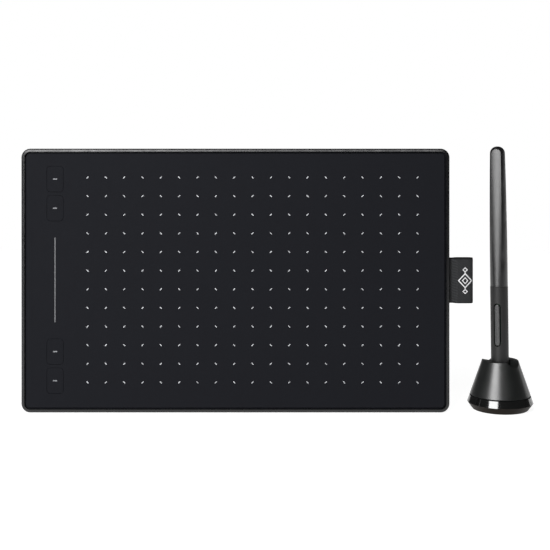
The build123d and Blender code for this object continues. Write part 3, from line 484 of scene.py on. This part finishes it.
# Ribbon's fabric
RIBBON_GREY = (0.030, 0.031, 0.033)
SELVEDGE_BLACK = (0.004, 0.004, 0.0045)
SELVEDGE_WIDTH = 0.8 * MM
# Painted shade in the weave's gaps and painted highlight on its threads, following the same pattern as the
# bump
GAP_PAINTED_SHADE = 0.55
THREAD_PAINTED_HIGHLIGHT = 1.5
THREAD_HEIGHT = 0.06 * MM
# Scales of the two thread patterns, and how much each wavers
WARP_SCALE = 0.35 / MM
CROSS_SCALE = 0.5 / MM
WARP_WAVER = 1.5
CROSS_WAVER = 0.6
FLECK_SIZE = 0.6 * MM
FLECK_DARK = (0.6, 0.6, 0.6)
FLECK_PALE = (1.15, 1.15, 1.15)
FLECK_SHARE = 0.6


def thread_bands(made, direction, scale, waver):
    wave = made.add("ShaderNodeTexWave", wave_type="BANDS", bands_direction=direction)
    wave.inputs["Scale"].default_value = scale
    wave.inputs["Distortion"].default_value = waver
    made.link(made.coords, wave.inputs["Vector"])
    return wave.outputs["Fac"]


def ribbon_fabric():
    """Dark tape with a diagonal warp and level cross threads, paler flecks and black selvedges; painted
    shade darkens the gaps between the threads and a painted highlight lightens their tops.
    """
    made = Shader("ribbon_fabric", RIBBON_GREY, rough=0.75, specular=0.15, sheen=0.08)
    warp = thread_bands(made, "DIAGONAL", WARP_SCALE, WARP_WAVER)
    cross = thread_bands(made, "Z", CROSS_SCALE, CROSS_WAVER)
    threads = made.math("MULTIPLY", warp, cross)
    # Painted shade in the gaps between threads, and a painted highlight on the raised threads
    painted_gap_shade, painted_thread_highlight = shade(RIBBON_GREY, GAP_PAINTED_SHADE), shade(RIBBON_GREY, THREAD_PAINTED_HIGHLIGHT)
    woven = made.ramp(threads, painted_gap_shade, painted_thread_highlight, start=0.05, end=0.7)
    flecks = made.ramp(made.noise(FLECK_SIZE, detail=3), FLECK_DARK, FLECK_PALE)
    flecked = made.mix(FLECK_SHARE, woven, flecks, blend_type="MULTIPLY")
    from_middle = made.math("ABSOLUTE", made.math("SUBTRACT", made.axis(made.coords, "Z"), tablet_z))
    selvedge = made.math("GREATER_THAN", from_middle, RIBBON_WIDTH / 2 - SELVEDGE_WIDTH)
    made.color(made.mix(selvedge, flecked, SELVEDGE_BLACK))
    made.bump(threads, THREAD_HEIGHT)
    return made


rows = ribbon_rows()
ribbon = add_piece(ribbon_mesh(rows), ribbon_fabric(), "tablet")
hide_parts("ribbon_loop")

# Woven motif on the ribbon, which follows its turn
MOTIF_X = edge_x + 10.4 * MM
MOTIF_RISE = 0.12 * MM
MOTIF_SINK = 0.02 * MM
MOTIF_CUTS = 7
# Half width, half height and band of each lozenge
LARGE_LOZENGE = (4.9 * MM, 5.2 * MM, 1.0 * MM)
INNER_LOZENGE = (2.2 * MM, 2.4 * MM, 0.8 * MM)
SMALL_LOZENGE = (1.9 * MM, 1.75 * MM, 0.8 * MM)
# Heights over the motif's middle
SMALL_LOZENGE_Z = 7.3 * MM
BAR_INNER_Z = 4.6 * MM
BAR_OUTER_Z = 5.9 * MM
BAR_HALF_WIDTH = 0.4 * MM
BAR_CORE_SHARE = 0.2


def front_surface(x):
    """The level of the ribbon's front face at a place along its width."""
    past = x - turn_x
    if past > 0:
        return ribbon_y - sqrt((LOOP_RADIUS + RIBBON_THICK / 2) ** 2 - past**2)
    return ribbon_y - layer_level(x) - RIBBON_THICK / 2


def add_band(made, outer, inner):
    """A band between two outlines (x, z) round the motif's middle, raised along its own middle."""
    middle = [
        ((outer_x + inner_x) / 2, (outer_z + inner_z) / 2)
        for (outer_x, outer_z), (inner_x, inner_z) in zip(outer, inner)
    ]
    rings = [
        [made.verts.new((MOTIF_X + x, -rise, tablet_z + z)) for x, z in corners]
        for corners, rise in ((outer, -MOTIF_SINK), (middle, MOTIF_RISE), (inner, -MOTIF_SINK))
    ]
    for first, second in zip(rings, rings[1:]):
        for i in range(len(first)):
            j = (i + 1) % len(first)
            made.faces.new((first[i], first[j], second[j], second[i]))


def add_lozenge(made, centre_z, half_x, half_z, band):
    outer = [(half_x, centre_z), (0, centre_z + half_z), (-half_x, centre_z), (0, centre_z - half_z)]
    keep = 1 - band / min(half_x, half_z)
    add_band(made, outer, [(x * keep, centre_z + (z - centre_z) * keep) for x, z in outer])


def add_bar(made, low_z, high_z, half_x):
    core = BAR_CORE_SHARE * half_x
    core_low = low_z + core
    core_high = high_z - core
    outer = [(half_x, low_z), (half_x, high_z), (-half_x, high_z), (-half_x, low_z)]
    add_band(made, outer, [(core, core_low), (core, core_high), (-core, core_high), (-core, core_low)])


def motif_mesh():
    """A lozenge in a lozenge, with a bar and a small lozenge above and below."""
    made = bmesh.new()
    add_lozenge(made, 0, *LARGE_LOZENGE)
    add_lozenge(made, 0, *INNER_LOZENGE)
    for side in (1, -1):
        add_lozenge(made, side * SMALL_LOZENGE_Z, *SMALL_LOZENGE)
        add_bar(made, *sorted((side * BAR_INNER_Z, side * BAR_OUTER_Z)), BAR_HALF_WIDTH)
    bmesh.ops.subdivide_edges(made, edges=made.edges, cuts=MOTIF_CUTS, use_grid_fill=True)
    for vert in made.verts:
        vert.co.y += front_surface(vert.co.x)
    bmesh.ops.recalc_face_normals(made, faces=made.faces)
    for face in made.faces:
        if face.normal.y > 0:
            face.normal_flip()
    mesh = bpy.data.meshes.new("ribbon_motif")
    made.to_mesh(mesh)
    made.free()
    return mesh


motif = add_piece(motif_mesh(), thread, "tablet")

# Floor: a white sheet that keeps the object's shadow
FLOOR_FRONT = -0.36
FLOOR_BACK = 1.2
FLOOR_HALF_WIDTH = 3.0
FLOOR_LEVEL = -0.02 * MM
FLOOR_GREY = (0.3, 0.3, 0.3)
FLOOR_GLOW = 0.86


def background_rays(made):
    """One for the rays that show the background: seen directly, reflected or through something clear."""
    rays = made.add("ShaderNodeLightPath").outputs
    seen = made.math("ADD", rays["Is Camera Ray"], rays["Is Glossy Ray"], use_clamp=True)
    return made.math("ADD", seen, rays["Is Transmission Ray"], use_clamp=True)


def floor_material():
    """A matt sheet, lifted to white for the rays that show the background."""
    material = bpy.data.materials.new("floor")
    made = NodeTree(material, empty=True)
    diffuse = made.add("ShaderNodeBsdfDiffuse")
    made.feed(diffuse.inputs["Color"], FLOOR_GREY)
    glow = made.add("ShaderNodeEmission")
    made.feed(glow.inputs["Strength"], made.math("MULTIPLY", background_rays(made), FLOOR_GLOW))
    total = made.add("ShaderNodeAddShader")
    made.link(diffuse.outputs[0], total.inputs[0])
    made.link(glow.outputs[0], total.inputs[1])
    output = made.add("ShaderNodeOutputMaterial")
    made.link(total.outputs[0], output.inputs["Surface"])
    return material


floor_corners = [
    (-FLOOR_HALF_WIDTH, FLOOR_FRONT, FLOOR_LEVEL),
    (FLOOR_HALF_WIDTH, FLOOR_FRONT, FLOOR_LEVEL),
    (FLOOR_HALF_WIDTH, FLOOR_BACK, FLOOR_LEVEL),
    (-FLOOR_HALF_WIDTH, FLOOR_BACK, FLOOR_LEVEL),
]
floor_mesh = bpy.data.meshes.new("floor")
floor_mesh.from_pydata(floor_corners, [], [(0, 1, 2, 3)])
floor_mesh.materials.append(floor_material())
floor = bpy.data.objects.new("floor", floor_mesh)
scene.collection.objects.link(floor)

# World: white where it is seen, a dim room in front of the object and a pale wall behind it
WHITE = (1, 1, 1)
ROOM_WALL = 0.9
# Darkest level, and where along +Y the wall starts and is full, for matt and for glossy surfaces
MATT_ROOM = (0.10, 0.0, 0.6)
GLOSSY_ROOM = (0.03, 0.965, 0.995)


def room_level(made, direction_y, dim, wall_start, wall_full):
    """The room's brightness by direction, rising from the dim front to the wall."""
    return made.rescale(
        direction_y, (wall_start, wall_full), (dim, ROOM_WALL), interpolation_type="SMOOTHSTEP"
    )


def build_room():
    world = bpy.data.worlds.new("room")
    scene.world = world
    made = NodeTree(world, empty=True)
    direction_y = made.axis(made.add("ShaderNodeTexCoord").outputs["Generated"], "Y")
    rays = made.add("ShaderNodeLightPath").outputs
    matt = room_level(made, direction_y, *MATT_ROOM)
    glossy = room_level(made, direction_y, *GLOSSY_ROOM)
    unseen = made.mix(rays["Is Glossy Ray"], matt, glossy, data_type="FLOAT")
    level = made.mix(rays["Is Camera Ray"], unseen, 1.0, data_type="FLOAT")
    background = made.add("ShaderNodeBackground")
    made.feed(background.inputs["Color"], WHITE)
    made.link(level, background.inputs["Strength"])
    output = made.add("ShaderNodeOutputWorld")
    made.link(background.outputs[0], output.inputs["Surface"])


build_room()

# Lamps
PEN_MIDDLE_HEIGHT = 0.06


def softbox(name, target, azimuth, elevation, distance, size, radiance):
    """A lamp of an even brightness, placed by its direction from the target: azimuth from -Y towards +X."""
    turn, rise = radians(azimuth), radians(elevation)
    towards = Vector((sin(turn) * cos(rise), -cos(turn) * cos(rise), sin(rise)))
    data = bpy.data.lights.new(name, "AREA")
    data.shape = "RECTANGLE"
    data.size, data.size_y = size
    data.energy = radiance * pi * size[0] * size[1]
    lamp = bpy.data.objects.new(name, data)
    scene.collection.objects.link(lamp)
    lamp.location = Vector(target) + towards * distance
    lamp.rotation_mode = "QUATERNION"
    lamp.rotation_quaternion = (-towards).to_track_quat("-Z", "Y")


pen_middle = (stand_x, 0, PEN_MIDDLE_HEIGHT)
tablet_top = (tablet_x, face_y, case_high.z)
softbox("key_box", pen_middle, azimuth=-37, elevation=24, distance=1.6, size=(0.86, 1.5), radiance=7.5)
softbox("top_strip", tablet_top, azimuth=0, elevation=41, distance=1.0, size=(1.1, 0.12), radiance=8.0)
softbox("rim_box", pen_middle, azimuth=120, elevation=12, distance=1.0, size=(0.22, 0.6), radiance=1.1)
